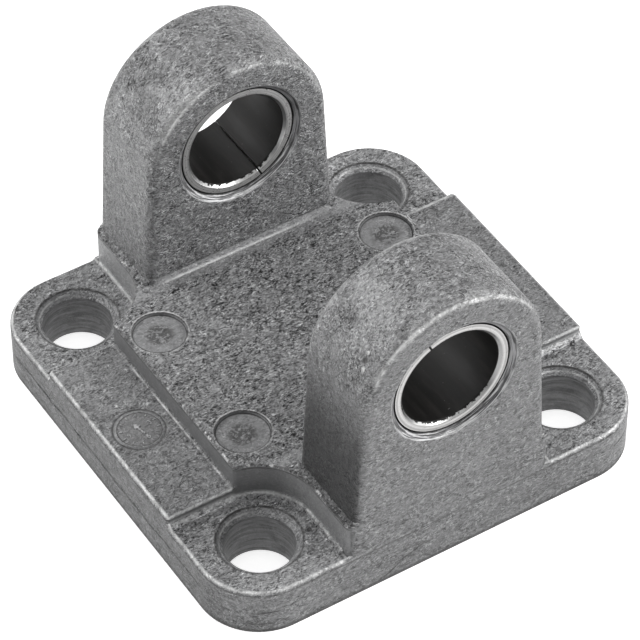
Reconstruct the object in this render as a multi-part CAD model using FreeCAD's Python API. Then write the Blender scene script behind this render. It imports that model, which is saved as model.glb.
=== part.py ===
import FreeCAD, Part
import math
import os

# Rear clevis mount of a 32 mm bore pneumatic cylinder: an aluminium die casting with a square
# flange and two lugs, and a rolled plain bush pressed into each lug. All sizes in millimetres.
# The origin is the centre of the mounting face, +Z points away from the cylinder and the pivot
# pin runs along Y.

# Screws and the flange round them
screw_spacing = 32.5
screw_to_side = 6.25
flange_corner_r = 6.0
screw_hole_d = 6.6
screw_hole_chamfer = 0.65
screw_head_space_d = 11.0

# Heights: the screw pads above the mounting face, the side panels above the pads, the table
# above the panels, and the pivot axis above the mounting face
pad_height = 5.2
panel_rise = 1.2
table_rise = 2.6
pivot_height = 22.0

# Raised middle of the flange
table_length = 31.0
pocket_foot_chamfer = 0.45
panel_foot_r = 0.3
panel_edge_chamfer = 0.2
table_edge_chamfer = 0.2
outer_edge_chamfer = 0.3

# Lugs
gap_width = 26.0
lug_ledge = 0.55
lug_side_draft = 3.0
lug_edge_r = 1.0
lug_foot_r = 0.6
lug_foot_flare = 0.3

# Collar recess in the mounting face
collar_d = 30.0
collar_depth = 4.5

# Ejector pin marks on the table
ejector_mark_d = 5.1
ejector_mark_depth = 0.3
ejector_spacing_x = 24.9
ejector_spacing_y = 14.7

# Rolled bushes, pressed in from the front face of each lug, the recesses measured from its two faces
pin_d = 10.0
bush_wall = 1.0
bush_recess = 0.5
bush_far_recess = 1.0
seat_chamfer = 0.55
bush_inner_chamfer = 0.3
bush_outer_chamfer = 0.12
bush_outer_chamfer_length = 0.4
bush_joint_gap = 0.2
front_joint_angle = 115.0
rear_joint_angle = -65.0

# Sizes that follow from the values above
screw_half = screw_spacing / 2
flange_half = screw_half + screw_to_side
pocket_r = screw_head_space_d / 2
pocket_wall = screw_half - pocket_r
panel_height = pad_height + panel_rise
table_height = panel_height + table_rise
gap_depth = pivot_height - table_height
table_half = table_length / 2
gap_half = gap_width / 2
lug_thickness = flange_half - gap_half
draft = math.radians(lug_side_draft)
lug_root_half = pocket_wall - lug_ledge
lug_top_r = (lug_root_half - gap_depth * math.tan(draft)) * math.cos(draft)
bush_d = pin_d + 2 * bush_wall
bush_length = lug_thickness - bush_recess - bush_far_recess
above_all = pivot_height + 2 * lug_top_r
tolerance = 0.0001


def vec(x, y, z):
    return FreeCAD.Vector(x, y, z)


def middle(edge):
    return edge.valueAt((edge.FirstParameter + edge.LastParameter) / 2)


def edges_where(shape, test):
    return [edge for edge in shape.Edges if test(edge)]


def is_level(edge, height):
    box = edge.BoundBox
    return abs(box.ZMin - height) < tolerance and abs(box.ZMax - height) < tolerance


def is_upright(edge):
    box = edge.BoundBox
    return math.hypot(box.XLength, box.YLength) < tolerance


def on_outline(point):
    # True on the flange's flat sides and its four corner rounds
    x = abs(point.x) - (flange_half - flange_corner_r)
    y = abs(point.y) - (flange_half - flange_corner_r)
    reach = math.hypot(x, y) if x > 0 and y > 0 else max(x, y)
    return abs(reach - flange_corner_r) < 0.001


def four_corners(shape):
    # The shape and its mirror images in the other three quadrants
    across = shape.mirror(vec(0, 0, 0), vec(1, 0, 0))
    pair = [shape, across]
    return pair + [piece.mirror(vec(0, 0, 0), vec(0, 1, 0)) for piece in pair]


def flange_stock():
    side = 2 * flange_half
    stock = Part.makeBox(side, side, table_height, vec(-flange_half, -flange_half, 0))
    return stock.makeFillet(flange_corner_r, edges_where(stock, is_upright))


def corner_pocket():
    # Clears the screw head: round about the screw axis, then straight out past both sides
    size = 2 * flange_half
    pocket = Part.makeBox(size, size, above_all, vec(pocket_wall, pocket_wall, pad_height))

    def inner_corner(edge):
        point = middle(edge)
        off_corner = math.hypot(point.x - pocket_wall, point.y - pocket_wall)
        return is_upright(edge) and off_corner < tolerance

    return pocket.makeFillet(pocket_r, edges_where(pocket, inner_corner))


def side_shoulder():
    # Space above one side panel
    size = 2 * flange_half
    return Part.makeBox(size, size, above_all, vec(table_half, -size / 2, panel_height))


def flange():
    body = flange_stock()
    shoulder = side_shoulder()
    shoulders = [shoulder, shoulder.mirror(vec(0, 0, 0), vec(1, 0, 0))]
    for space in four_corners(corner_pocket()) + shoulders:
        body = body.cut(space)
    return body.removeSplitter()


def pocket_foot_edges(body):
    def test(edge):
        return is_level(edge, pad_height) and not on_outline(middle(edge))
    return edges_where(body, test)


def panel_foot_edges(body):
    def test(edge):
        return is_level(edge, panel_height) and abs(abs(middle(edge).x) - table_half) < tolerance
    return edges_where(body, test)


def panel_end_edges(body):
    def test(edge):
        point = middle(edge)
        runs_along_x = edge.BoundBox.YLength < tolerance and abs(point.x) > screw_half
        return is_level(edge, panel_height) and runs_along_x and not on_outline(point)
    return edges_where(body, test)


def table_edges(body):
    def test(edge):
        return is_level(edge, table_height) and not on_outline(middle(edge))
    return edges_where(body, test)


def outline_edges(body):
    def test(edge):
        point = middle(edge)
        along_side = on_outline(point) and on_outline(edge.Vertexes[0].Point)
        return along_side and point.z > pad_height - tolerance
    return edges_where(body, test)


def eased_flange():
    # Eased at the foot of each wall, with the edges broken as tumbling leaves them
    body = flange()
    body = body.makeChamfer(pocket_foot_chamfer, pocket_foot_edges(body))
    body = body.makeFillet(panel_foot_r, panel_foot_edges(body))
    body = body.makeChamfer(panel_edge_chamfer, panel_end_edges(body))
    body = body.makeChamfer(table_edge_chamfer, table_edges(body))
    return body.makeChamfer(outer_edge_chamfer, outline_edges(body))


def lug_profile(root_height):
    # Round top about the pivot axis, with drafted sides that leave it on a tangent
    tangent_x = lug_top_r * math.cos(draft)
    tangent_z = pivot_height + lug_top_r * math.sin(draft)
    root_x = tangent_x + (tangent_z - root_height) * math.tan(draft)
    right_side = [vec(root_x, gap_half, root_height), vec(tangent_x, gap_half, tangent_z)]
    left_side = [vec(-point.x, point.y, point.z) for point in reversed(right_side)]
    crown = vec(0, gap_half, pivot_height + lug_top_r)
    top = Part.Arc(right_side[-1], crown, left_side[0]).toShape()
    return Part.Wire(Part.makePolygon(left_side + right_side).Edges + [top])


def lug_foot():
    # Widens the foot of the lug's drafted sides towards the pocket walls
    foot_x = lug_root_half + lug_foot_flare
    foot_z = table_height + lug_foot_flare
    section = Part.makePolygon([
        vec(-foot_x, gap_half, table_height),
        vec(foot_x, gap_half, table_height),
        vec(lug_root_half, gap_half, foot_z),
        vec(-lug_root_half, gap_half, foot_z),
        vec(-foot_x, gap_half, table_height),
    ])
    wedge = Part.Face(section).extrude(vec(0, lug_thickness, 0))
    plate = Part.makeBox(2 * foot_x, lug_thickness, lug_foot_flare,
                         vec(-foot_x, gap_half, table_height))
    return wedge.common(plate.makeFillet(lug_edge_r, edges_where(plate, is_upright)))


def rear_lug():
    # Grows out of a slab that lies inside the flange, so its foot can be rounded
    root_height = (pad_height + table_height) / 2
    slab_x = pocket_wall - table_edge_chamfer
    slab_near = gap_half - 2 * lug_foot_r
    slab = Part.makeBox(2 * slab_x, flange_half - slab_near, table_height - root_height,
                        vec(-slab_x, slab_near, root_height))
    lug = Part.Face(lug_profile(root_height)).extrude(vec(0, lug_thickness, 0))
    body = lug.fuse(slab).removeSplitter()

    def foot(edge):
        point = middle(edge)
        return is_level(edge, table_height) and abs(point.y - gap_half) < tolerance

    body = body.makeFillet(lug_foot_r, edges_where(body, foot))
    for face_y in (gap_half, flange_half):
        def profile_edge(edge):
            box = edge.BoundBox
            flat = abs(box.YMin - face_y) < tolerance and abs(box.YMax - face_y) < tolerance
            return flat and box.ZLength > tolerance and box.ZMax > pivot_height
        body = body.makeFillet(lug_edge_r, edges_where(body, profile_edge))
    return body.fuse(lug_foot())


def lug_end_corner():
    # What rounds the upright edge below the lug's outer face, from the screw pad up
    height = table_height + lug_foot_flare - pad_height
    start = vec(pocket_wall - lug_edge_r, flange_half - lug_edge_r, pad_height)
    block = Part.makeBox(2 * lug_edge_r, 2 * lug_edge_r, height, start)
    return block.cut(Part.makeCylinder(lug_edge_r, height, start))


def lug_seat():
    # Seat of the rear bush with a lead-in chamfer at both faces of the lug
    bore_r = bush_d / 2
    mouth_r = bore_r + seat_chamfer
    axis_point = vec(0, gap_half, pivot_height)
    outer_point = vec(0, flange_half, pivot_height)
    seat = Part.makeCylinder(bore_r, lug_thickness, axis_point, vec(0, 1, 0))
    inner_mouth = Part.makeCone(mouth_r, bore_r, seat_chamfer, axis_point, vec(0, 1, 0))
    outer_mouth = Part.makeCone(mouth_r, bore_r, seat_chamfer, outer_point, vec(0, -1, 0))
    return seat.fuse([inner_mouth, outer_mouth])


def screw_hole():
    # Straight hole with its rim broken where it meets the screw pad
    hole_r = screw_hole_d / 2
    hole = Part.makeCylinder(hole_r, pad_height, vec(screw_half, screw_half, 0))
    rim = Part.makeCone(hole_r, hole_r + screw_hole_chamfer, screw_hole_chamfer,
                        vec(screw_half, screw_half, pad_height - screw_hole_chamfer))
    return hole.fuse(rim)


def collar_recess():
    return Part.makeCylinder(collar_d / 2, collar_depth)


def ejector_mark():
    floor = table_height - ejector_mark_depth
    place = vec(ejector_spacing_x / 2, ejector_spacing_y / 2, floor)
    return Part.makeCylinder(ejector_mark_d / 2, above_all, place)


def clevis_casting():
    lug = rear_lug()
    seat = lug_seat()
    body = eased_flange()
    body = body.fuse([lug, lug.mirror(vec(0, 0, 0), vec(0, 1, 0))]).removeSplitter()
    cuts = [seat, seat.mirror(vec(0, 0, 0), vec(0, 1, 0)), collar_recess()]
    cuts += four_corners(screw_hole()) + four_corners(ejector_mark())
    cuts += four_corners(lug_end_corner())
    for cut in cuts:
        body = body.cut(cut)
    return body


def bush(joint_angle):
    # Rolled from strip, so a fine open joint runs the length of the wall
    inner_r = pin_d / 2
    outer_r = bush_d / 2
    end_outer_r = outer_r - bush_outer_chamfer
    end_inner_r = inner_r + bush_inner_chamfer
    half_length = bush_length / 2
    outer_shoulder = half_length - bush_outer_chamfer_length
    inner_shoulder = half_length - bush_inner_chamfer
    points = [
        vec(inner_r, -inner_shoulder, 0),
        vec(end_inner_r, -half_length, 0),
        vec(end_outer_r, -half_length, 0),
        vec(outer_r, -outer_shoulder, 0),
        vec(outer_r, outer_shoulder, 0),
        vec(end_outer_r, half_length, 0),
        vec(end_inner_r, half_length, 0),
        vec(inner_r, inner_shoulder, 0),
        vec(inner_r, -inner_shoulder, 0),
    ]
    ring = Part.Face(Part.makePolygon(points)).revolve(vec(0, 0, 0), vec(0, 1, 0), 360)
    joint = Part.makeBox(bush_d, 2 * bush_length, bush_joint_gap,
                         vec(0, -bush_length, -bush_joint_gap / 2))
    joint.rotate(vec(0, 0, 0), vec(0, 1, 0), -joint_angle)
    return ring.cut(joint)


def placed_bush(joint_angle, entry_face):
    # The entry face is the lug face at the front, towards negative Y
    body = bush(joint_angle)
    body.translate(vec(0, entry_face + bush_recess + bush_length / 2, pivot_height))
    return body


def single_solid(shape):
    return shape.Solids[0] if len(shape.Solids) == 1 else shape


parts = {
    "clevis_casting": clevis_casting(),
    "bush_front": placed_bush(front_joint_angle, -gap_half - lug_thickness),
    "bush_rear": placed_bush(rear_joint_angle, gap_half),
}

os.makedirs("parts", exist_ok=True)
for name, shape in parts.items():
    solid = single_solid(shape)
    solid.exportStep(f"parts/{name}.step")
    box = solid.optimalBoundingBox(False, False)
    print(name, "valid", solid.isValid(), "solids", len(shape.Solids),
          "volume", round(solid.Volume, 1),
          "box", [round(v, 2) for v in (box.XLength, box.YLength, box.ZLength)])
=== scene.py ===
import math

import bpy
import bmesh
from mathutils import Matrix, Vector


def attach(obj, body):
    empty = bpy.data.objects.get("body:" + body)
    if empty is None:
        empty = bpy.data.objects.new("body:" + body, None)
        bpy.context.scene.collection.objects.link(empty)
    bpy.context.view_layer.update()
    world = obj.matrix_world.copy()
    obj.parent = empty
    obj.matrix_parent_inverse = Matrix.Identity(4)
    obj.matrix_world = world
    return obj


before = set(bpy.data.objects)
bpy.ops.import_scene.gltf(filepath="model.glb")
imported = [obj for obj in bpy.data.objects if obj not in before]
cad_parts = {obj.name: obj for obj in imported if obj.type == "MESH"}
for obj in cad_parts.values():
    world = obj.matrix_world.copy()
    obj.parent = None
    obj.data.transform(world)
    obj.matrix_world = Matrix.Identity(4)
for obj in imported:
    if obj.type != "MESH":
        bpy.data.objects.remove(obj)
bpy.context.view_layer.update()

scene = bpy.context.scene
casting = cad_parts["clevis_casting"]
bushes = [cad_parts["bush_front"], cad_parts["bush_rear"]]
mm = 0.001


# Small helpers

def deselectAll():
    if bpy.context.mode != "OBJECT":
        bpy.ops.object.mode_set(mode="OBJECT")
    bpy.ops.object.select_all(action="DESELECT")


def nameNewest(name):
    piece = bpy.context.active_object
    piece.name = name
    piece.data.name = name
    return piece


def pickFaces(piece, test):
    # Selects by place or normal, and leaves the piece in edit mode
    bpy.ops.object.mode_set(mode="EDIT")
    bpy.ops.mesh.select_mode(type="FACE")
    bpy.ops.mesh.select_all(action="DESELECT")
    shape = bmesh.from_edit_mesh(piece.data)
    for face in shape.faces:
        face.select = bool(test(face))
    shape.select_flush_mode()
    bmesh.update_edit_mesh(piece.data)


def pickTop(piece):
    # The highest level face, which is where a mark gets its next step
    bpy.ops.object.mode_set(mode="OBJECT")
    highest = max(v.co.z for v in piece.data.vertices)
    pickFaces(piece, lambda face: face.normal.z > 0.9 and face.calc_center_median().z > highest - 1e-6)


def settle(piece):
    # Place goes into the mesh, so Object coordinates match the casting's
    deselectAll()
    piece.select_set(True)
    bpy.context.view_layer.objects.active = piece
    bpy.ops.object.transform_apply(location=True, rotation=True, scale=True)
    return piece


def applyAll(piece):
    deselectAll()
    piece.select_set(True)
    bpy.context.view_layer.objects.active = piece
    for modifier in list(piece.modifiers):
        bpy.ops.object.modifier_apply(modifier=modifier.name)


def roundEdges(piece, width, segments=2):
    bevel = piece.modifiers.new("roundEdges", "BEVEL")
    bevel.width = width
    bevel.segments = segments
    bevel.limit_method = "ANGLE"
    bevel.angle_limit = math.radians(30)
    applyAll(piece)


def joinPieces(name, pieces):
    deselectAll()
    for piece in pieces:
        piece.select_set(True)
    bpy.context.view_layer.objects.active = pieces[0]
    bpy.ops.object.join()
    return nameNewest(name)


def giveMaterial(piece, material):
    piece.data.materials.clear()
    piece.data.materials.append(material)


def finishCastMark(piece):
    # A mark in the casting's own metal, riding on it
    settle(piece)
    bpy.ops.object.shade_smooth_by_angle(angle=math.radians(35))
    giveMaterial(piece, castAluminium)
    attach(piece, "root")


# Node helpers: a value that is itself a socket gets linked, anything else is set

def feed(tree, socket, value):
    if isinstance(value, bpy.types.NodeSocket):
        tree.links.new(value, socket)
    else:
        socket.default_value = value


def addNode(tree, kind, sockets=None, **settings):
    node = tree.nodes.new("ShaderNode" + kind)
    for setting, value in settings.items():
        setattr(node, setting, value)
    for socket, value in (sockets or {}).items():
        feed(tree, node.inputs[socket], value)
    return node


def calc(tree, operation, first, second=0.0, third=0.0):
    return addNode(tree, "Math", {0: first, 1: second, 2: third}, operation=operation).outputs[0]


def times(tree, *values):
    product = values[0]
    for value in values[1:]:
        product = calc(tree, "MULTIPLY", product, value)
    return product


def plus(tree, *values):
    total = values[0]
    for value in values[1:]:
        total = calc(tree, "ADD", total, value)
    return total


def ramp(tree, value, start, end, low=0.0, high=1.0):
    # Smooth from low at start to high at end, held outside
    node = addNode(tree, "MapRange", {"Value": value, "From Min": start, "From Max": end,
                                      "To Min": low, "To Max": high}, interpolation_type="SMOOTHSTEP")
    return node.outputs["Result"]


def line(tree, value, centre, half):
    # 1 on the centre value, 0 from half a width away
    away = calc(tree, "ABSOLUTE", calc(tree, "SUBTRACT", value, centre))
    return ramp(tree, away, 0.0, half, 1.0, 0.0)


def fade(tree, mask, factor):
    # 1 where the mask is 0, and the factor where it is 1
    return ramp(tree, mask, 0.0, 1.0, 1.0, factor)


def band(tree, value, start, full, last, end):
    # 1 from full to last, and 0 outside start and end
    return times(tree, ramp(tree, value, start, full), ramp(tree, value, end, last))


def most(tree, *masks):
    strongest = masks[0]
    for mask in masks[1:]:
        strongest = calc(tree, "MAXIMUM", strongest, mask)
    return strongest


def noise(tree, place, scale, detail=4.0, roughness=0.6, distortion=0.0):
    node = addNode(tree, "TexNoise", {"Vector": place, "Scale": scale, "Detail": detail,
                                      "Roughness": roughness, "Distortion": distortion})
    return node.outputs["Fac"]


def stretched(tree, place, scale, turn=0.0):
    node = addNode(tree, "Mapping", {"Vector": place, "Rotation": (0.0, 0.0, turn), "Scale": scale})
    return node.outputs[0]


def moved(tree, place, shift):
    return addNode(tree, "VectorMath", {0: place, 1: shift}, operation="ADD").outputs[0]


def mixColour(tree, amount, first, second, blend="MIX"):
    node = addNode(tree, "Mix", data_type="RGBA", blend_type=blend)
    feed(tree, node.inputs[0], amount)
    feed(tree, node.inputs[6], first)
    feed(tree, node.inputs[7], second)
    return node.outputs[2]


def shade(tree, colour, tone):
    grey = addNode(tree, "CombineColor", {0: tone, 1: tone, 2: tone}).outputs[0]
    return mixColour(tree, 1.0, colour, grey, "MULTIPLY")


def millimetres(tree):
    # Object coordinates in millimetres, whole and split
    metres = addNode(tree, "TexCoord").outputs["Object"]
    place = addNode(tree, "VectorMath", {0: metres, "Scale": 1000.0}, operation="SCALE").outputs[0]
    parts = addNode(tree, "SeparateXYZ", {0: place})
    return place, parts.outputs[0], parts.outputs[1], parts.outputs[2]


def startMaterial(name):
    material = bpy.data.materials.new(name)
    material.use_nodes = True
    tree = material.node_tree
    tree.nodes.clear()
    output = addNode(tree, "OutputMaterial")
    return material, tree, output


def distanceTo(tree, first, second, firstCentre, secondCentre):
    a = calc(tree, "SUBTRACT", first, firstCentre)
    b = calc(tree, "SUBTRACT", second, secondCentre)
    return calc(tree, "SQRT", plus(tree, times(tree, a, a), times(tree, b, b)))


# Cast aluminium, blasted after casting

castLook = {
    "colour": (0.232, 0.233, 0.236, 1),
    # Dark colour for pits and dents, also used for painted shade lines under edges and round rims
    "darkPit": (0.060, 0.059, 0.058, 1),
    # Light colour for wear, specks and scratches, also used for a painted highlight on the seat edge
    "wornEdge": (0.62, 0.62, 0.63, 1),
    # Brightest colour, for rubbed edges and for painted highlights and glints
    "brightEdge": (0.88, 0.88, 0.88, 1),
    "machined": (0.21, 0.21, 0.215, 1),
    # Painted shade: black for the gap behind the bushes
    "behindBush": (0.012, 0.012, 0.012, 1),
    "metallic": 0.35,
    "roughness": 0.50,
    "grainTone": 0.36,     # how far the fine grain lightens and darkens
    "curlTone": 0.34,      # the same for the curls
    "grainDepth": 0.13,    # mm, height of the grain
    "softEdge": 0.32,      # mm, edges look rounded this much
    "pivotHeight": 22.0,   # mm, axis of the bush seats
    "seatReach": 6.57,     # mm, the machined lead-in ends here
    "behindReach": 6.04,   # mm, the gap round the bush
    "screwHalf": 16.25,
    "screwBore": 3.30,
    "screwRim": 3.98,
    "pocketRadius": 5.5,
    "cornerHalf": 16.5,    # centre of the flange's corner rounding
    "cornerRadius": 6.0,
    "tableHalf": 15.5,
    "tableTop": 9.0,
    "panelTop": 6.4,
    "panelHalf": 11.0,     # half the length of the side panels
    "padTop": 5.2,
    "lugFace": 13.0,       # the lugs' inner faces
    "lugSide": 10.0,       # the lugs' sides, about
    "ejectorX": 12.45,
    "ejectorY": 7.35,
    "ejectorRadius": 2.55,
    "dial": (-19.05, -0.05, 2.45),   # centre x, centre y, radius of the ring cut round it
    "partingHeight": 2.70,
    # x, y, z and radius of single dents, mm
    "dents": [(-11.85, -17.60, 5.2, 0.30), (21.05, -11.30, 5.2, 0.34), (-7.9, -20.4, 27.2, 0.34),
              (-20.6, -2.9, 6.4, 0.22), (6.5, -20.3, 31.0, 0.3)],
    # bright nicks, partly painted glints, the same way
    "scars": [(-8.2, -20.7, 26.5, 0.42), (-7.5, -20.2, 27.75, 0.26), (-19.4, 3.6, 6.4, 0.24)],
    # how much each place livens or calms the grain
    "grainAt": {"outer": 0.72, "lugSides": 0.85, "panel": 0.80, "walls": 0.15, "rimBand": 0.60,
                "ejector": 0.35, "nearLug": 0.35, "paleWall": 2.6, "openTable": 1.38, "level": 1.05,
                "crown": 0.70},
    "dialGrain": 0.45,
    # how much lighter or darker each place is than the rest; all but the ejector marks and the pads are
    # painted light and painted shade
    "toneAt": {"dull": 0.28, "innerFace": 1.22, "nearLug": 1.30, "ejector": 1.12, "paleWall": 1.60,
               "panelEnd": 2.3, "rimBand": 1.18, "leftSide": 0.75, "rearGlow": 1.16, "crown": 1.45,
               "pad": 1.13},
    "dialTone": 1.32,
    # marks laid over the skin in this order: how strong and which colour
    "layers": [("dark", 0.80, "darkPit"), ("bright", 0.50, "wornEdge"), ("scratch", 0.35, "wornEdge"),
               ("scar", 0.80, "brightEdge"), ("dialMarks", 0.75, "wornEdge"),
               ("rimGlint", 0.50, "brightEdge"), ("underRim", 0.75, "darkPit"),
               ("rub", 0.90, "brightEdge"), ("footLine", 0.75, "brightEdge"),
               ("lugFoot", 0.80, "brightEdge"), ("ejectorRing", 0.85, "darkPit"),
               ("ejectorLip", 0.40, "brightEdge")],
    # how far each part of the texture stands up or goes down, as shares of grainDepth
    "grainHeights": {"fine": 0.4, "strokes": 0.70, "hollows": -0.70, "specks": 0.45, "curl": 1.3,
                     "pits": -0.55, "mottle": 0.8},
    "markHeights": {"scratch": -0.2, "dialRing": -0.8, "parting": -0.7, "dent": -1.2,
                    "ejectorRough": -0.5},
}


def cornerDistance(tree, absX, absY, half, side):
    # Distance from a square of this half width, measured outwards (side 1) or inwards (side -1)
    a = calc(tree, "MAXIMUM", times(tree, calc(tree, "SUBTRACT", absX, half), side), 0.0)
    b = calc(tree, "MAXIMUM", times(tree, calc(tree, "SUBTRACT", absY, half), side), 0.0)
    return calc(tree, "SQRT", plus(tree, times(tree, a, a), times(tree, b, b)))


def towardsBack(tree, x, y, halfX, halfY):
    # How far the place lies towards the rear right, from the nearest of four mirrored centres
    a = calc(tree, "SUBTRACT", x, times(tree, calc(tree, "SIGN", x), halfX))
    b = calc(tree, "SUBTRACT", y, times(tree, calc(tree, "SIGN", y), halfY))
    return plus(tree, times(tree, a, 0.53), times(tree, b, 0.85))


def castPlaces(tree, look):
    # Where a point lies on the casting, in mm, and which way it faces
    place, x, y, z = millimetres(tree)
    normal = addNode(tree, "SeparateXYZ", {0: addNode(tree, "TexCoord").outputs["Normal"]}).outputs
    absX = calc(tree, "ABSOLUTE", x)
    absY = calc(tree, "ABSOLUTE", y)
    screw = look["screwHalf"]
    spots = {"place": place, "x": x, "y": y, "z": z, "absX": absX, "absY": absY}
    spots["upward"] = normal[2]
    spots["up"] = calc(tree, "ABSOLUTE", normal[2])
    spots["normalX"] = normal[0]
    spots["facingX"] = calc(tree, "ABSOLUTE", normal[0])
    spots["facingY"] = calc(tree, "ABSOLUTE", normal[1])
    spots["fromPivot"] = distanceTo(tree, x, z, 0.0, look["pivotHeight"])
    spots["fromScrew"] = distanceTo(tree, absX, absY, screw, screw)
    spots["fromEjector"] = distanceTo(tree, absX, absY, look["ejectorX"], look["ejectorY"])
    spots["fromPocket"] = cornerDistance(tree, absX, absY, screw, -1.0)
    spots["fromCorner"] = cornerDistance(tree, absX, absY, look["cornerHalf"], 1.0)
    spots["fromDial"] = distanceTo(tree, x, y, look["dial"][0], look["dial"][1])
    spots["behindScrew"] = towardsBack(tree, x, y, screw, screw)
    spots["behindEjector"] = towardsBack(tree, x, y, look["ejectorX"], look["ejectorY"])
    return spots


def castFaces(tree, look, spots):
    # Masks for the different faces
    z, absX, absY = spots["z"], spots["absX"], spots["absY"]
    top = look["tableTop"]
    steep = ramp(tree, spots["up"], 0.35, 0.15)
    flatTop = ramp(tree, spots["upward"], 0.80, 0.95)
    reach = look["cornerRadius"]
    inside = ramp(tree, spots["fromCorner"], reach - 0.1, reach - 0.4)
    seatReach = look["seatReach"]
    faces = {"flatTop": flatTop}
    faces["seat"] = ramp(tree, spots["fromPivot"], seatReach - 0.02, seatReach + 0.02, 1.0, 0.0)
    faces["holeWall"] = times(tree, steep, ramp(tree, spots["fromScrew"], look["screwBore"] + 0.04,
                                                look["screwBore"] + 0.15, 1.0, 0.0))
    faces["table"] = times(tree, flatTop, band(tree, z, top - 0.6, top - 0.4, top + 0.3, top + 0.6))
    faces["level"] = times(tree, flatTop, ramp(tree, z, 7.4, 7.2))
    faces["pocketWall"] = times(tree, steep, inside, ramp(tree, z, top + 0.1, top - 0.1),
                                ramp(tree, spots["fromScrew"], 3.6, 3.8))
    faces["outer"] = times(tree, steep, calc(tree, "SUBTRACT", 1.0, inside))
    faces["lugSides"] = times(tree, steep, band(tree, absX, 9.2, 9.35, 10.4, 10.6),
                              ramp(tree, z, top - 0.3, top - 0.1))
    # The lugs' inner faces, made lighter further on as painted light
    faces["innerFace"] = times(tree, ramp(tree, spots["facingY"], 0.7, 0.9),
                               ramp(tree, absY, look["lugFace"] + 0.3, look["lugFace"] + 0.1),
                               ramp(tree, z, top, top + 0.6))
    faces["walls"] = most(tree, faces["pocketWall"], faces["holeWall"], faces["seat"])
    faces["panel"] = times(tree, faces["level"], ramp(tree, z, 6.2, 6.3))
    faces["pad"] = times(tree, faces["level"], ramp(tree, z, 5.3, 5.25))
    # Rims round the screw holes, made lighter further on as painted light, with calmer grain
    faces["rimBand"] = times(tree, ramp(tree, spots["fromScrew"], 3.95, 3.85), ramp(tree, z, 4.2, 4.5),
                             ramp(tree, spots["up"], 0.3, 0.6))
    faces["ejector"] = times(tree, ramp(tree, spots["fromEjector"], look["ejectorRadius"],
                                        look["ejectorRadius"] - 0.1), faces["table"])
    faces["openTable"] = times(tree, faces["table"], ramp(tree, faces["ejector"], 1.0, 0.0))
    return faces


def addAreas(tree, look, spots, faces):
    # Larger areas with painted light and painted shade: darker or paler than the rest because of how light
    # falls
    x, y, z = spots["x"], spots["y"], spots["z"]
    top, lug = look["tableTop"], look["lugFace"]
    # Painted light: the table along the lugs' feet is made lighter, with calmer grain
    faces["nearLug"] = times(tree, band(tree, spots["absY"], lug - 1.9, lug - 0.6, lug, lug + 0.1),
                             band(tree, z, top - 0.1, top - 0.01, top + 0.5, top + 0.7))
    # Painted shade: the lower part of the front lug's left side is made darker
    faces["dull"] = times(tree, ramp(tree, spots["facingX"], 0.35, 0.98), ramp(tree, x, -8.0, -9.0),
                          ramp(tree, y, -12.0, -14.5), ramp(tree, z, 28.5, 13.0),
                          ramp(tree, z, top - 0.3, top - 0.1))
    # Painted light: some pocket walls that face sideways are made lighter, more so towards the rear
    faces["paleWall"] = times(tree, faces["pocketWall"], ramp(tree, x, -12.6, -11.4),
                              ramp(tree, spots["facingX"], 0.5, 0.95), ramp(tree, y, -15.0, 12.0, 0.5, 1.0))
    # Painted light: the end walls of the side panels are made lighter
    faces["panelEnd"] = times(tree, ramp(tree, spots["absX"], 15.2, 15.9),
                              band(tree, spots["absY"], 10.6, 10.65, 11.16, 11.22),
                              band(tree, z, 5.15, 5.2, 5.7, 6.1),
                              ramp(tree, spots["fromCorner"], look["cornerRadius"] - 0.1,
                                   look["cornerRadius"] - 0.3))
    # Painted light: the upper part of the rear lug's left side is made lighter
    faces["rearGlow"] = times(tree, ramp(tree, spots["facingX"], 0.35, 0.98), ramp(tree, x, -8.0, -9.0),
                              ramp(tree, y, 12.0, 14.5), ramp(tree, z, 13.0, 22.0))
    # Painted shade: the flange's left side is made darker
    faces["leftSide"] = times(tree, faces["outer"], ramp(tree, x, -21.5, -22.3))
    # Painted highlight: the upper left of the lug tops is made lighter, in patches
    faces["crown"] = times(tree, line(tree, spots["normalX"], -0.60, 0.48), ramp(tree, z, 22.5, 25.0),
                           ramp(tree, spots["facingY"], 0.6, 0.2),
                           ramp(tree, noise(tree, spots["place"], 0.3, 3.0, 0.6), 0.36, 0.56))


def castGrain(tree, place):
    # Fine texture: curling strokes, grains, bright and dark specks
    grain = {}
    grain["broad"] = noise(tree, place, 0.15, 3.0, 0.55)
    grain["mottle"] = noise(tree, place, 0.9, 4.0, 0.62, 0.4)
    drawn = stretched(tree, place, (0.68, 1.25, 1.25))
    grain["fine"] = noise(tree, drawn, 5.0, 1.5, 0.55)
    grain["curl"] = noise(tree, drawn, 2.3, 1.0, 0.5, 1.8)
    grain["strokes"] = curls(tree, noise(tree, drawn, 1.5, 2.0, 0.55, 1.4),
                             noise(tree, moved(tree, place, (5.0, 23.0, 11.0)), 1.8, 2.0, 0.5), 0.48)
    hollow = noise(tree, moved(tree, drawn, (31.0, 17.0, 9.0)), 1.6, 2.0, 0.55, 1.4)
    grain["hollows"] = curls(tree, hollow,
                             noise(tree, moved(tree, place, (41.0, 3.0, 19.0)), 1.8, 2.0, 0.5), 0.46)
    cells = addNode(tree, "TexVoronoi", {"Vector": place, "Scale": 2.3, "Randomness": 1.0}, feature="F1")
    pick = addNode(tree, "SeparateColor", {0: cells.outputs["Color"]})
    near = ramp(tree, cells.outputs["Distance"], 0.10, 0.30, 1.0, 0.0)
    grain["specks"] = times(tree, near, ramp(tree, pick.outputs[0], 0.72, 0.80))
    grain["pits"] = times(tree, near, ramp(tree, pick.outputs[1], 0.80, 0.88))
    return grain


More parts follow.
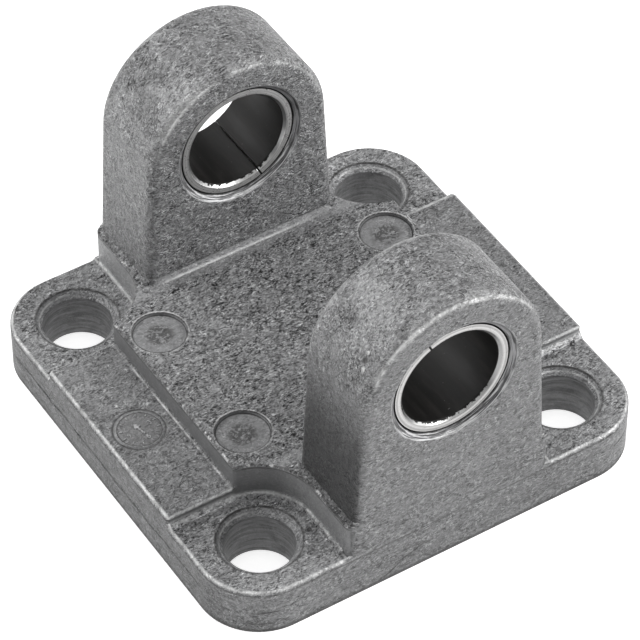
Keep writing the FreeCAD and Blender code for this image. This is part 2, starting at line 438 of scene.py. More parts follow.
def curls(tree, field, breaks, start):
    # Thin lines along the middle value of a noise, broken up by a second one
    ridge = calc(tree, "ABSOLUTE", calc(tree, "SUBTRACT", field, 0.5))
    return times(tree, ramp(tree, ridge, 0.015, 0.050, 1.0, 0.0), ramp(tree, breaks, start, start + 0.08))


def spotMarks(tree, place, marks):
    # Round spots at given places
    strongest = 0.0
    for markX, markY, markZ, reach in marks:
        gap = addNode(tree, "VectorMath", {0: place, 1: (markX, markY, markZ)}, operation="DISTANCE")
        strongest = calc(tree, "MAXIMUM", strongest,
                         ramp(tree, gap.outputs["Value"], reach * 0.5, reach, 1.0, 0.0))
    return strongest


def rubbedEdges(tree, look, spots, ragged, sparse, streaky):
    # Edges rubbed bright, with painted highlights along them: flange outline, side panels, lug tops, table
    # and small raised steps
    x, y, z, absX = spots["x"], spots["y"], spots["z"], spots["absX"]
    panel = look["panelTop"]
    outline = times(tree, line(tree, spots["fromCorner"], look["cornerRadius"] - 0.20, 0.20),
                    ramp(tree, spots["up"], 0.2, 0.5), ramp(tree, z, 4.6, 4.8),
                    ramp(tree, x, 20.8, 22.0, 1.0, 0.2))
    wallTop = line(tree, spots["fromPocket"], look["pocketRadius"] + 0.11, 0.17)
    tableRim = times(tree, most(tree, wallTop, line(tree, absX, look["tableHalf"] - 0.11, 0.17)),
                     band(tree, z, 8.70, 8.85, 9.05, 9.15))
    panelRim = times(tree, wallTop, band(tree, z, panel - 0.28, panel - 0.15, panel + 0.04, panel + 0.10),
                     ramp(tree, absX, look["tableHalf"], look["tableHalf"] + 0.3))
    rounding = most(tree, line(tree, spots["facingY"], 0.86, 0.13),
                    times(tree, spots["facingY"], ramp(tree, spots["facingY"], 0.98, 0.80), 0.45))
    lugRim = times(tree, rounding, ramp(tree, z, 22.0, 27.5), ramp(tree, x, 2.5, 7.0, 1.0, 0.3))
    panelBack = times(tree, line(tree, y, 10.42, 0.26),
                      band(tree, z, panel - 0.10, panel - 0.02, panel + 0.04, panel + 0.10),
                      ramp(tree, x, 15.6, 16.0))
    raised = times(tree, band(tree, z, 5.212, 5.225, 5.4, 5.5), ramp(tree, spots["fromPocket"], 5.0, 4.9),
                   ramp(tree, x, 15.0, 16.0))
    rub = times(tree, most(tree, outline, panelRim, times(tree, lugRim, streaky)), ragged)
    rub = most(tree, rub, times(tree, tableRim, sparse), times(tree, panelBack, ragged, 0.7),
               times(tree, raised, 0.7))
    # Painted shade on the table rim where it is not rubbed bright
    darkRim = times(tree, tableRim, calc(tree, "SUBTRACT", 1.0, sparse), 0.45)
    return rub, darkRim


def linesUnderEdges(tree, look, spots, faces, ragged, darkRim):
    # Painted shade: a dark line just below the rubbed edges, and one along the very bottom
    z, outer = spots["z"], faces["outer"]
    onPanelSide = ramp(tree, spots["absY"], look["panelHalf"] - 0.3, look["panelHalf"] - 0.1, 1.0, 0.0)
    offPanelSide = calc(tree, "SUBTRACT", 1.0, onPanelSide)
    under = most(tree, times(tree, line(tree, z, look["panelTop"] - 0.42, 0.16), onPanelSide),
                 times(tree, line(tree, z, look["padTop"] - 0.42, 0.16), offPanelSide))
    under = most(tree, times(tree, under, outer),
                 times(tree, line(tree, z, look["tableTop"] - 0.36, 0.15), faces["pocketWall"]))
    return most(tree, times(tree, under, ragged), darkRim, times(tree, outer, ramp(tree, z, 0.60, 0.20)))


def footLines(tree, look, spots, streaky):
    # Painted highlights: bright lines where walls meet the pads, the panels and the table
    x, y, z = spots["x"], spots["y"], spots["z"]
    top = look["tableTop"]
    padFoot = times(tree, line(tree, spots["fromPocket"], look["pocketRadius"] - 0.14, 0.20),
                    band(tree, z, 5.15, 5.20, 5.72, 5.80))
    panelFoot = times(tree, line(tree, spots["absX"], look["tableHalf"] + 0.22, 0.15),
                      band(tree, z, 6.36, 6.40, 6.68, 6.75))
    rearWall = times(tree, ramp(tree, x, -9.5, -10.0), ramp(tree, y, 9.0, 12.0))
    lugFoot = times(tree, line(tree, spots["absY"], look["lugFace"] - 0.36, 0.17),
                    band(tree, z, top, top + 0.02, top + 0.5, top + 0.6),
                    ramp(tree, spots["absX"], look["lugSide"] + 0.4, look["lugSide"] + 0.2),
                    ramp(tree, x, -10.0, -7.0), ramp(tree, x, 9.0, 2.0, 0.15, 1.0))
    return times(tree, most(tree, padFoot, panelFoot), most(tree, streaky, rearWall)), lugFoot


def ringMarks(tree, look, spots, faces, ragged):
    # Ejector marks, dial, screw rims and the edge of the bush seats, with painted shade and painted
    # highlights round the ejector marks and the screw rims, and a painted highlight on the seat edge
    place, z, fromDial = spots["place"], spots["z"], spots["fromDial"]
    reach = look["ejectorRadius"]
    table = faces["table"]
    marks = {}
    # Painted shade in a dark ring round each ejector mark, and a painted highlight just outside it,
    # stronger on the far side
    marks["ejectorRing"] = times(tree, line(tree, spots["fromEjector"], reach - 0.02, 0.16), table)
    marks["ejectorLip"] = times(tree, line(tree, spots["fromEjector"], reach + 0.17, 0.11), table, ragged,
                                ramp(tree, spots["behindEjector"], 0.0, 1.6, 0.6, 1.7))
    core = times(tree, ramp(tree, spots["fromEjector"], 0.9, 1.7, 1.0, 0.0), table)
    marks["ejectorRough"] = times(tree, core, ramp(tree, noise(tree, place, 1.7, 3.0, 0.65, 1.4),
                                                   0.46, 0.51))
    marks["dialRing"] = times(tree, line(tree, fromDial, look["dial"][2], 0.15), faces["level"],
                              ramp(tree, noise(tree, place, 0.45, 2.0, 0.5), 0.36, 0.50, 0.65, 1.0))
    onDial = times(tree, ramp(tree, fromDial, 2.30, 2.20), faces["level"], ramp(tree, z, 6.30, 6.36))
    marks["dialMarks"] = times(tree, onDial, ramp(tree, z, 6.458, 6.472))
    marks["dialSunk"] = times(tree, onDial, ramp(tree, z, 6.445, 6.425))
    # Painted shade in a dark line round the screw rims, stronger on the far side, and a painted highlight
    # inside it
    marks["rimRing"] = times(tree, line(tree, spots["fromScrew"], look["screwRim"], 0.19),
                             band(tree, z, 5.0, 5.1, 5.3, 5.4), ramp(tree, ragged, 0.5, 1.0, 0.6, 1.0),
                             ramp(tree, spots["behindScrew"], 0.5, 3.0, 1.0, 1.5))
    marks["rimGlint"] = times(tree, line(tree, spots["fromScrew"], 3.62, 0.12), ramp(tree, z, 4.2, 4.5),
                              ragged, ramp(tree, spots["absX"], 15.0, 15.5))
    # Painted highlight: a broken bright line along the edge of the bush seats
    marks["seatRing"] = times(tree, line(tree, spots["fromPivot"], look["seatReach"], 0.11),
                              ramp(tree, noise(tree, place, 0.8, 3.0, 0.6), 0.44, 0.54))
    return marks


def partingMarks(tree, look, spots, faces, grain):
    # Parting line round the flange, its drop and smudge on the front, and a dash on the corner
    place, x, y, z, outer = spots["place"], spots["x"], spots["y"], spots["z"], faces["outer"]
    wobble = ramp(tree, noise(tree, place, 0.25, 3.0, 0.6), 0.3, 0.7, -0.25, 0.25)
    front = ramp(tree, y, -22.2, -22.4)
    onSides = times(tree, outer, calc(tree, "SUBTRACT", 1.0, front))
    seam = times(tree, line(tree, plus(tree, z, wobble), look["partingHeight"], 0.22), onSides,
                 ramp(tree, noise(tree, place, 0.16, 2.0, 0.5), 0.42, 0.50))
    slope = plus(tree, times(tree, calc(tree, "ADD", x, 3.2), 0.43), 2.4, wobble)
    drop = times(tree, line(tree, calc(tree, "SUBTRACT", z, slope), 0.0, 0.15), front,
                 band(tree, x, -7.8, -7.4, -3.2, -2.6))
    patches = noise(tree, stretched(tree, place, (0.6, 1.0, 1.6)), 1.1, 4.0, 0.65)
    smudge = times(tree, line(tree, z, 2.6, 0.55), front, band(tree, x, -4.0, -3.0, 0.5, 4.0),
                   ramp(tree, patches, 0.50, 0.58), 0.6)
    dash = times(tree, line(tree, z, 1.12, 0.20), outer, ramp(tree, grain["curl"], 0.40, 0.50),
                 ramp(tree, distanceTo(tree, x, y, -19.8, -21.5), 1.6, 1.2))
    return most(tree, seam, drop, smudge, dash)


def castMarks(tree, look, spots, faces, grain):
    # All the marks on the skin, by name
    place = spots["place"]
    ragged = ramp(tree, noise(tree, place, 0.9, 4.0, 0.55), 0.38, 0.54, 0.50, 1.0)
    sparse = ramp(tree, noise(tree, place, 0.7, 5.0, 0.68), 0.54, 0.62)
    streaky = ramp(tree, noise(tree, place, 0.35, 3.0, 0.6), 0.40, 0.58, 0.15, 1.0)
    marks = ringMarks(tree, look, spots, faces, ragged)
    marks["rub"], darkRim = rubbedEdges(tree, look, spots, ragged, sparse, streaky)
    marks["underRim"] = linesUnderEdges(tree, look, spots, faces, ragged, darkRim)
    marks["footLine"], marks["lugFoot"] = footLines(tree, look, spots, streaky)
    marks["parting"] = partingMarks(tree, look, spots, faces, grain)
    marks["dent"] = spotMarks(tree, place, look["dents"])
    marks["scar"] = times(tree, spotMarks(tree, place, look["scars"]),
                          ramp(tree, grain["curl"], 0.42, 0.56))
    scratches = []
    for turn, reach in ((0.55, 0.22), (-0.8, 0.16)):
        field = noise(tree, stretched(tree, place, (reach, 4.2, 2.0), turn), 1.0, 2.0, 0.5, 0.4)
        scratches.append(ramp(tree, field, 0.70, 0.76))
    marks["scratch"] = times(tree, most(tree, *scratches), faces["flatTop"])
    return marks


def grainStrength(tree, look, spots, faces):
    # How lively the texture is at each place
    patchy = ramp(tree, noise(tree, spots["place"], 0.5, 2.0, 0.5), 0.3, 0.7, 0.75, 1.25)
    lively = times(tree, ramp(tree, spots["fromDial"], 2.7, 2.4, 1.0, look["dialGrain"]), patchy)
    for name, factor in look["grainAt"].items():
        lively = times(tree, lively, fade(tree, faces[name], factor))
    return lively


def skinTone(tree, look, spots, faces, grain, lively):
    # Lightness of the bare skin, about 1
    place, z = spots["place"], spots["z"]
    fine, curl = look["grainTone"], look["curlTone"]
    tone = plus(tree, ramp(tree, grain["broad"], 0.3, 0.7, -0.07, 0.07),
                ramp(tree, grain["mottle"], 0.3, 0.7, -0.09, 0.09),
                ramp(tree, grain["fine"], 0.25, 0.75, -fine, fine),
                ramp(tree, grain["curl"], 0.3, 0.7, -curl, curl),
                times(tree, grain["strokes"], 1.25), times(tree, grain["hollows"], -0.45))
    drag = noise(tree, stretched(tree, place, (0.35, 0.35, 3.4)), 1.0, 3.0, 0.6, 0.6)
    dragTone = times(tree, ramp(tree, drag, 0.3, 0.7, -0.42, 0.20), faces["holeWall"])
    alongSide = noise(tree, stretched(tree, place, (0.25, 0.25, 2.6)), 1.0, 4.0, 0.65, 0.5)
    sideTone = times(tree, ramp(tree, alongSide, 0.3, 0.7, -0.24, 0.14), faces["outer"],
                     ramp(tree, z, 9.0, 6.0))
    tone = plus(tree, times(tree, tone, lively), dragTone, sideTone, 1.0)
    tone = times(tree, tone, ramp(tree, spots["fromDial"], 2.7, 2.2, 1.0, look["dialTone"]))
    # Painted light and painted shade by place, from the table of tones
    for name, factor in look["toneAt"].items():
        tone = times(tree, tone, fade(tree, faces[name], factor))
    return tone


def paintSeat(tree, look, spots, faces, marks, colour):
    # Turned lead-in of the bush seats, with a painted highlight on its low part, and black painted shade
    # where it goes down behind the bush
    x, z = spots["x"], spots["z"]
    turnedPlace = addNode(tree, "CombineXYZ", {0: times(tree, spots["fromPivot"], 9.0),
                                               1: times(tree, x, 0.35), 2: times(tree, z, 0.35)})
    turned = noise(tree, turnedPlace.outputs[0], 1.0, 3.0, 0.65)
    seatColour = shade(tree, look["machined"], ramp(tree, turned, 0.38, 0.62, 0.25, 1.9))
    # Painted highlight: the turned rings shine on the low part of the lead-in
    chatter = times(tree, ramp(tree, turned, 0.52, 0.60), ramp(tree, z, 20.5, 17.5), 0.7)
    seatColour = mixColour(tree, chatter, seatColour, look["brightEdge"])
    gap = ramp(tree, spots["fromPivot"], look["behindReach"] + 0.02, look["behindReach"] - 0.02)
    seatColour = mixColour(tree, gap, seatColour, look["behindBush"])
    colour = mixColour(tree, faces["seat"], colour, seatColour)
    return mixColour(tree, times(tree, marks["seatRing"], 0.75), colour, look["wornEdge"])


def makeCastAluminium():
    look = castLook
    material, tree, output = startMaterial("castAluminium")
    spots = castPlaces(tree, look)
    faces = castFaces(tree, look, spots)
    addAreas(tree, look, spots, faces)
    grain = castGrain(tree, spots["place"])
    marks = castMarks(tree, look, spots, faces, grain)
    lively = grainStrength(tree, look, spots, faces)

    # Colour: the skin, then every mark over it in turn
    marks["dark"] = most(tree, times(tree, grain["pits"], lively), marks["ejectorRough"], marks["parting"],
                         marks["dent"], marks["dialSunk"], marks["dialRing"],
                         times(tree, marks["rimRing"], 0.9))
    marks["bright"] = times(tree, grain["specks"], lively, ramp(tree, faces["dull"], 0.3, 0.0))
    colour = shade(tree, look["colour"], skinTone(tree, look, spots, faces, grain, lively))
    for name, strength, paint in look["layers"]:
        colour = mixColour(tree, times(tree, marks[name], strength), colour, look[paint])
    colour = paintSeat(tree, look, spots, faces, marks, colour)
    roughness = plus(tree, look["roughness"], ramp(tree, grain["mottle"], 0.3, 0.7, -0.06, 0.08),
                     times(tree, marks["rub"], -0.14), times(tree, faces["seat"], -0.06))

    # Relief
    height = times(tree, plus(tree, *[times(tree, grain[name], share)
                                      for name, share in look["grainHeights"].items()]), lively)
    height = plus(tree, height, *[times(tree, marks[name], share)
                                  for name, share in look["markHeights"].items()])
    softened = addNode(tree, "Bevel", {"Radius": look["softEdge"] * mm}, samples=6).outputs[0]
    bump = addNode(tree, "Bump", {"Strength": 0.9, "Distance": look["grainDepth"] * mm, "Height": height,
                                  "Normal": softened}).outputs[0]
    shader = addNode(tree, "BsdfPrincipled", {"Base Color": colour, "Metallic": look["metallic"],
                                              "Roughness": roughness, "Normal": bump})
    tree.links.new(shader.outputs[0], output.inputs["Surface"])
    return material


# Rolled steel bush with a dark sliding layer in its bore

bushLook = {
    "steel": (0.50, 0.495, 0.49, 1),
    "polished": (0.85, 0.85, 0.84, 1),
    "shadedSteel": (0.30, 0.30, 0.30, 1),
    "lining": (0.006, 0.0055, 0.005, 1),
    "liningSheen": (0.020, 0.018, 0.017, 1),
    "outerRing": (0.05, 0.05, 0.05, 1),
    "steelRoughness": 0.30,
    "liningRoughness": 0.50,
    "steelMetallic": 0.9,
    "specular": 0.28,
    # Painted light: the rear bush's end is made brighter by the next factor
    "rearSteel": 1.7,      # the rear bush's end is this much brighter
    "pivotHeight": 22.0,   # mm, as are the rest
    "boreRadius": 5.0,
    "chamferRadius": 5.3,
    "outerRadius": 5.88,
    "torn": 0.16,          # how far the lining's low edge is torn back
    "softEdge": 0.07,
    "relief": 0.02,
}


def makeBushSteel():
    look = bushLook
    material, tree, output = startMaterial("bushSteel")
    place, x, y, z = millimetres(tree)
    radius = distanceTo(tree, x, z, 0.0, look["pivotHeight"])
    tear = ramp(tree, noise(tree, place, 2.2, 4.0, 0.7), 0.40, 0.65, 0.0, look["torn"])
    low = ramp(tree, z, 20.0, 17.8)
    edge = calc(tree, "SUBTRACT", radius, times(tree, tear, low))
    bore = ramp(tree, edge, look["boreRadius"] + 0.03, look["boreRadius"] + 0.06, 1.0, 0.0)

    # Steel: turned rings on the ends, a painted highlight on the low part of the lead-in and painted shade
    # on the rest of it, small nicks
    ringPlace = addNode(tree, "CombineXYZ", {0: times(tree, radius, 10.0), 1: times(tree, y, 0.3)})
    rings = noise(tree, ringPlace.outputs[0], 1.0, 2.0, 0.6)
    nicks = ramp(tree, noise(tree, place, 3.5, 3.0, 0.6), 0.60, 0.68)
    tone = plus(tree, ramp(tree, rings, 0.32, 0.68, 0.62, 1.12), times(tree, nicks, -0.3))
    tone = times(tree, tone, ramp(tree, y, -5.0, 5.0, 1.0, look["rearSteel"]))
    steelColour = shade(tree, look["steel"], tone)
    leadIn = mixColour(tree, ramp(tree, z, 19.0, 17.6), look["shadedSteel"], look["polished"])
    steelColour = mixColour(tree, ramp(tree, radius, look["chamferRadius"], look["chamferRadius"] - 0.06),
                            steelColour, leadIn)
    # Painted shade: the outer edge of each bush's end is blackened
    outerRing = ramp(tree, radius, look["outerRadius"] - 0.04, look["outerRadius"] + 0.04)
    steelColour = mixColour(tree, outerRing, steelColour, look["outerRing"])

    # Lining: nearly black, with a faint smear along its length
    smear = noise(tree, stretched(tree, place, (1.2, 0.15, 1.2)), 1.0, 4.0, 0.6, 0.4)
    speck = ramp(tree, noise(tree, place, 4.5, 2.0, 0.6), 0.72, 0.78)
    liningColour = mixColour(tree, ramp(tree, smear, 0.45, 0.75), look["lining"], look["liningSheen"])
    liningColour = mixColour(tree, times(tree, speck, 0.25), liningColour, look["steel"])
    colour = mixColour(tree, bore, steelColour, liningColour)
    roughness = plus(tree, ramp(tree, bore, 0.0, 1.0, look["steelRoughness"], look["liningRoughness"]),
                     ramp(tree, smear, 0.3, 0.7, -0.04, 0.06))
    metallic = ramp(tree, bore, 0.0, 1.0, look["steelMetallic"], 0.0)

    height = plus(tree, times(tree, rings, 0.5), times(tree, smear, 0.4), times(tree, nicks, -0.3))
    softened = addNode(tree, "Bevel", {"Radius": look["softEdge"] * mm}, samples=6).outputs[0]
    bump = addNode(tree, "Bump", {"Strength": 0.4, "Distance": look["relief"] * mm, "Height": height,
                                  "Normal": softened}).outputs[0]
    shader = addNode(tree, "BsdfPrincipled", {"Base Color": colour, "Metallic": metallic,
                                              "Roughness": roughness, "Normal": bump,
                                              "Specular IOR Level": look["specular"]})
    tree.links.new(shader.outputs[0], output.inputs["Surface"])
    return material


castAluminium = makeCastAluminium()
bushSteel = makeBushSteel()
giveMaterial(casting, castAluminium)
for bush in bushes:
    giveMaterial(bush, bushSteel)
print("materials ready")


# Date dial cast into the left panel: disc, rim groove, month ticks, arrow and plain numbers

dial = {
    "centre": (-19.05, -0.05),   # mm
    "panel": 6.4,                # mm, height of the panel it stands on
    "radius": 2.28,
    "depth": 0.30,               # of the disc, most of it sunk in the panel
    "proud": 0.05,
    "rimWidth": 0.13,
    "grooveWidth": 0.10,
    "grooveDepth": 0.045,
    "grooveSlope": 0.03,
    "raise": 0.03,               # the middle over the groove's floor
    "ticks": 12,
    "tickReach": (1.62, 1.92),
    "tickWidth": 0.11,
    "tickHeight": 0.07,
    "arrowHead": 0.42,
    "arrowWidth": 0.18,
    "arrowLength": 1.0,
    "arrowHeight": 0.08,
    "numberReach": 1.22,
    "numberSize": 0.72,
    "numberRelief": 0.03,
    "numberWeight": 0.012,
    "turn": 12.0,                # degrees
}


def makeDialDisc():
    look = dial
    deselectAll()
    middle = look["panel"] + look["proud"] - look["depth"] / 2
    spot = [v * mm for v in (*look["centre"], middle)]
    bpy.ops.mesh.primitive_cylinder_add(vertices=72, radius=look["radius"] * mm,
                                        depth=look["depth"] * mm, location=spot)
    disc = nameNewest("dialDisc")
    pickTop(disc)
    bpy.ops.mesh.inset(thickness=look["rimWidth"] * mm, depth=0)
    bpy.ops.mesh.inset(thickness=look["grooveSlope"] * mm, depth=-look["grooveDepth"] * mm)
    bpy.ops.mesh.inset(thickness=look["grooveWidth"] * mm, depth=0)
    bpy.ops.mesh.inset(thickness=look["grooveSlope"] * mm, depth=look["raise"] * mm)
    bpy.ops.object.mode_set(mode="OBJECT")
    roundEdges(disc, 0.012 * mm)
    return disc


def makeDialTicks():
    look = dial
    inner, outer = look["tickReach"]
    top = look["panel"] + look["proud"]
    deselectAll()
    bpy.ops.mesh.primitive_cube_add(size=1.0, location=(0, (inner + outer) / 2 * mm, top * mm),
                                    scale=(look["tickWidth"] * mm, (outer - inner) * mm,
                                           look["tickHeight"] * mm))
    tick = nameNewest("dialTick")
    settle(tick)
    pickTop(tick)
    bpy.ops.mesh.inset(thickness=0.03 * mm, depth=0.015 * mm)
    bpy.ops.object.mode_set(mode="OBJECT")
    ticks = [tick]
    for i in range(1, look["ticks"]):
        copy = tick.copy()
        copy.data = tick.data.copy()
        scene.collection.objects.link(copy)
        copy.rotation_euler[2] = math.radians(360 / look["ticks"] * i)
        ticks.append(copy)
    return joinPieces("dialTicks", ticks)


def makeDialArrow():
    look = dial
    top = look["panel"] + look["proud"]
    deselectAll()
    bpy.ops.mesh.primitive_cylinder_add(vertices=3, radius=look["arrowHead"] * mm,
                                        depth=look["arrowHeight"] * mm,
                                        location=(0, look["arrowHead"] * mm, top * mm))
    head = nameNewest("dialArrowHead")
    settle(head)
    pickTop(head)
    bpy.ops.mesh.inset(thickness=0.05 * mm, depth=0.02 * mm)
    bpy.ops.object.mode_set(mode="OBJECT")
    deselectAll()
    bpy.ops.mesh.primitive_cube_add(size=1.0, location=(0, -0.22 * mm, top * mm),
                                    scale=(look["arrowWidth"] * mm, look["arrowLength"] * mm,
                                           look["arrowHeight"] * mm))
    shaft = nameNewest("dialArrowShaft")
    settle(shaft)
    pickTop(shaft)
    bpy.ops.mesh.inset(thickness=0.04 * mm, depth=0.02 * mm)
    bpy.ops.object.mode_set(mode="OBJECT")
    return joinPieces("dialArrow", [head, shaft])


def makeDialNumber(words, angle):
    look = dial
    top = look["panel"] + look["proud"]
    reach = look["numberReach"]
    spot = (reach * math.sin(angle) * mm, reach * math.cos(angle) * mm, top * mm)
    deselectAll()
    bpy.ops.object.text_add(location=spot)
    number = bpy.context.active_object
    number.data.body = words
    number.data.size = look["numberSize"] * mm
    number.data.align_x = "CENTER"
    number.data.align_y = "CENTER"
    number.data.extrude = look["numberRelief"] * mm
    number.data.offset = look["numberWeight"] * mm
    bpy.ops.object.convert(target="MESH")
    return nameNewest("dialNumber" + words)


def makeDial():
    look = dial
    marks = [makeDialTicks(), makeDialArrow()]
    for words, degrees in (("3", 90), ("6", 180), ("9", 270)):
        marks.append(makeDialNumber(words, math.radians(degrees)))
    for mark in marks:
        settle(mark)
    face = joinPieces("dialFace", marks)
    face.rotation_euler[2] = math.radians(look["turn"])
    face.location = (look["centre"][0] * mm, look["centre"][1] * mm, 0)
    finishCastMark(face)
    finishCastMark(makeDialDisc())


# Small round marks left by the die

dieMarks = {
    # name: centre x, centre y, height it stands on, radius, rim width, all mm
    "panelPinMark": (-18.95, -8.38, 6.4, 0.86, 0.12),
    "padPinMark": (-11.75, -17.60, 5.2, 0.62, 0.16),
}


def makeDieMark(name, centreX, centreY, height, radius, rim):
    depth, proud = 0.2, 0.045
    spot = [v * mm for v in (centreX, centreY, height + proud - depth / 2)]
    deselectAll()
    bpy.ops.mesh.primitive_cylinder_add(vertices=40, radius=radius * mm, depth=depth * mm, location=spot)
    mark = nameNewest(name)
    pickTop(mark)
    bpy.ops.mesh.inset(thickness=rim * mm, depth=0)
    bpy.ops.mesh.inset(thickness=0.04 * mm, depth=-0.05 * mm)
    bpy.ops.mesh.inset(thickness=0.10 * mm, depth=0.012 * mm)
    bpy.ops.object.mode_set(mode="OBJECT")
    roundEdges(mark, 0.015 * mm)
    finishCastMark(mark)


# Burrs and flash: small uneven lumps, partly sunk in the casting

burrs = {
    # name: place, half lengths, turn round Z in degrees, unevenness, seed
    "panelBurr": ((-18.08, -7.05, 6.40), (0.42, 0.09, 0.07), 17.0, 0.05, 3),
    "rearFootFlash": ((-10.62, 12.85, 9.0), (0.50, 0.36, 0.16), 30.0, 0.14, 5),
    "rearFootFlashLow": ((-10.72, 11.95, 8.98), (0.32, 0.50, 0.10), -10.0, 0.10, 7),
    "frontFootFlash": ((-10.55, -14.40, 8.98), (0.34, 0.46, 0.13), 20.0, 0.12, 11),
    "rightPadNick": ((20.98, -11.0, 5.22), (0.10, 0.62, 0.08), 25.0, 0.06, 13),
    "rightPadNickArm": ((21.25, -11.9, 5.22), (0.34, 0.08, 0.06), -20.0, 0.05, 17),
}


def makeBurr(name, spot, halves, turn, uneven, seed):
    deselectAll()
    bpy.ops.mesh.primitive_ico_sphere_add(subdivisions=3, radius=1.0, location=[v * mm for v in spot],
                                          rotation=(0, 0, math.radians(turn)),
                                          scale=[v * mm for v in halves])
    burr = nameNewest(name)
    settle(burr)
    bpy.ops.object.mode_set(mode="EDIT")
    bpy.ops.mesh.select_all(action="SELECT")
    bpy.ops.transform.vertex_random(offset=uneven * mm, uniform=1.0, normal=0.0, seed=seed)
    bpy.ops.mesh.vertices_smooth(factor=0.5, repeat=2)
    bpy.ops.object.mode_set(mode="OBJECT")
    smooth = burr.modifiers.new("smooth", "SUBSURF")
    smooth.levels = 1
    smooth.render_levels = 1
    applyAll(burr)
    finishCastMark(burr)


# Parting ridge: a thin uneven line where the two halves of the die met

ridge = {
    "side": 45.0,        # mm
    "corner": 6.0,
    "height": 2.62,      # mm above the mounting face
    "thick": 0.11,
    "wall": 0.16,        # through the ridge, most of it sunk in the casting
    "proud": 0.025,
    "uneven": 0.05,
}


def pickLong(belt):
    # The long level edges of the four straight sides
    bpy.ops.object.mode_set(mode="EDIT")
    bpy.ops.mesh.select_mode(type="EDGE")
    bpy.ops.mesh.select_all(action="DESELECT")
    shape = bmesh.from_edit_mesh(belt.data)
    for edge in shape.edges:
        edge.select = edge.calc_length() > 10 * mm
    bmesh.update_edit_mesh(belt.data)


def makePartingRidge():
    look = ridge
    deselectAll()
    bpy.ops.mesh.primitive_plane_add(size=look["side"] * mm, location=(0, 0, look["height"] * mm))
    belt = nameNewest("partingRidge")
    bpy.ops.object.mode_set(mode="EDIT")
    bpy.ops.mesh.select_all(action="SELECT")
    bpy.ops.mesh.bevel(offset=look["corner"] * mm, segments=14, affect="VERTICES")
    bpy.ops.mesh.select_all(action="SELECT")
    bpy.ops.mesh.extrude_region_move(TRANSFORM_OT_translate={"value": (0, 0, look["thick"] * mm)})
    pickFaces(belt, lambda face: abs(face.normal.z) > 0.5)
    bpy.ops.mesh.delete(type="ONLY_FACE")
    pickFaces(belt, lambda face: face.normal.y < -0.98)
    bpy.ops.mesh.delete(type="FACE")
    bpy.ops.mesh.select_all(action="SELECT")
    bpy.ops.mesh.normals_make_consistent(inside=False)
    bpy.ops.object.mode_set(mode="OBJECT")
    pickLong(belt)
    bpy.ops.mesh.subdivide(number_cuts=90)
    bpy.ops.mesh.select_all(action="SELECT")
    bpy.ops.transform.vertex_random(offset=look["uneven"] * mm, uniform=1.0, normal=0.0, seed=21)
    bpy.ops.mesh.vertices_smooth(factor=0.5, repeat=3)
    bpy.ops.object.mode_set(mode="OBJECT")
    thicken = belt.modifiers.new("thicken", "SOLIDIFY")
    thicken.thickness = look["wall"] * mm
    thicken.offset = -1.0 + 2 * look["proud"] / look["wall"]
    roundEdges(belt, 0.02 * mm)
    finishCastMark(belt)


makeDial()
for name, values in dieMarks.items():
    makeDieMark(name, *values)
for name, values in burrs.items():
    makeBurr(name, *values)
makePartingRidge()
print("die marks, burrs and parting ridge ready")


# Camera at the photograph's angle

cameraSetup = {
    "azimuth": -32.32,     # degrees round Z from the front
    "elevation": 45.67,
    "distance": 0.36365,
    "target": (0.00358, 0.00503, 0.00388),
    "lens": 216.8,
}


def placeCamera():
    setup = cameraSetup
    azimuth = math.radians(setup["azimuth"])
    elevation = math.radians(setup["elevation"])
    target = Vector(setup["target"])
    towards = Vector((math.sin(azimuth) * math.cos(elevation), -math.cos(azimuth) * math.cos(elevation),
                      math.sin(elevation)))
    bpy.ops.object.camera_add(location=target + towards * setup["distance"])
    camera = bpy.context.active_object
    camera.name = "photoCamera"
    camera.rotation_euler = towards.to_track_quat("Z", "Y").to_euler()
    camera.data.sensor_width = 36.0
    camera.data.lens = setup["lens"]
    camera.data.clip_start = 0.01
    scene.camera = camera


# Pale floor that goes white for the camera and keeps the shadow

floorLook = {
    "size": 3.0,
    "colour": (0.80, 0.80, 0.80, 1),
    "lift": 0.68,          # added for camera, glossy and transmitted rays
}


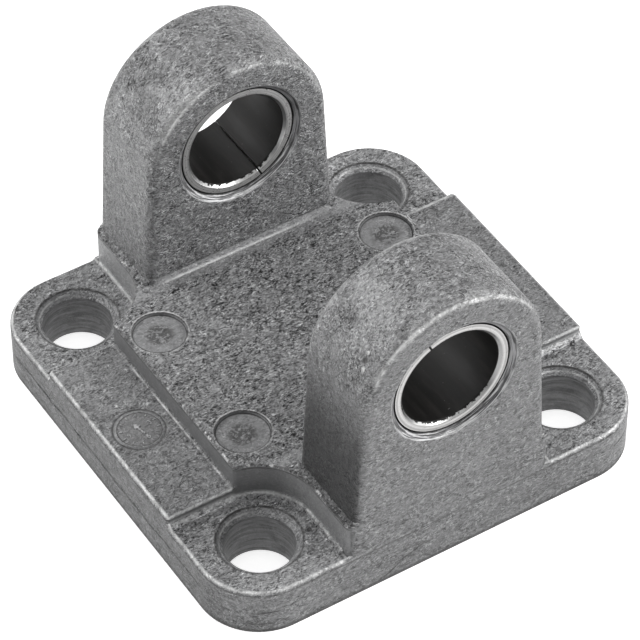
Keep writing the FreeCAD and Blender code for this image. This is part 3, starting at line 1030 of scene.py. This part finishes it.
def whiteRays(tree):
    rays = addNode(tree, "LightPath").outputs
    seen = calc(tree, "MAXIMUM", rays["Is Camera Ray"], rays["Is Glossy Ray"])
    return calc(tree, "MAXIMUM", seen, rays["Is Transmission Ray"])


def makeFloor():
    look = floorLook
    deselectAll()
    bpy.ops.mesh.primitive_plane_add(size=look["size"], location=(0, 0, 0))
    floor = nameNewest("studioFloor")
    material, tree, output = startMaterial("studioFloorWhite")
    matte = addNode(tree, "BsdfDiffuse", {"Color": look["colour"]})
    lift = addNode(tree, "Emission", {"Strength": times(tree, whiteRays(tree), look["lift"])})
    both = addNode(tree, "AddShader", {0: matte.outputs[0], 1: lift.outputs[0]})
    tree.links.new(both.outputs[0], output.inputs["Surface"])
    giveMaterial(floor, material)


# Soft studio light

studio = {
    "worldLight": 0.30,
    "worldSeen": 1.0,
    # name, place in metres, size in metres, watts
    "lamps": [
        ("backLeftSoftbox", (-0.576, 0.531, 0.450), 0.40, 2.95),
        ("rightSoftbox", (0.675, -0.360, 0.477), 0.40, 5.0),
        ("topSoftbox", (0.0, 0.0, 0.90), 0.40, 2.05),
        ("backSoftbox", (0.0, 0.720, 0.540), 0.40, 1.90),
    ],
}


def lightStudio():
    world = bpy.data.worlds.new("studioWorld")
    scene.world = world
    world.use_nodes = True
    tree = world.node_tree
    tree.nodes.clear()
    rays = addNode(tree, "LightPath").outputs
    strength = addNode(tree, "MapRange", {"Value": rays["Is Camera Ray"], "To Min": studio["worldLight"],
                                          "To Max": studio["worldSeen"]}).outputs[0]
    backdrop = addNode(tree, "Background", {"Color": (1, 1, 1, 1), "Strength": strength})
    output = addNode(tree, "OutputWorld")
    tree.links.new(backdrop.outputs[0], output.inputs["Surface"])
    for name, spot, size, watts in studio["lamps"]:
        bpy.ops.object.light_add(type="AREA", location=spot)
        lamp = bpy.context.active_object
        lamp.name = name
        lamp.data.size = size
        lamp.data.energy = watts
        lamp.rotation_euler = (Vector(spot) - Vector((0, 0, 0.01))).to_track_quat("Z", "Y").to_euler()


placeCamera()
makeFloor()
lightStudio()
scene.view_settings.view_transform = "Standard"
print("camera, floor and lights ready")
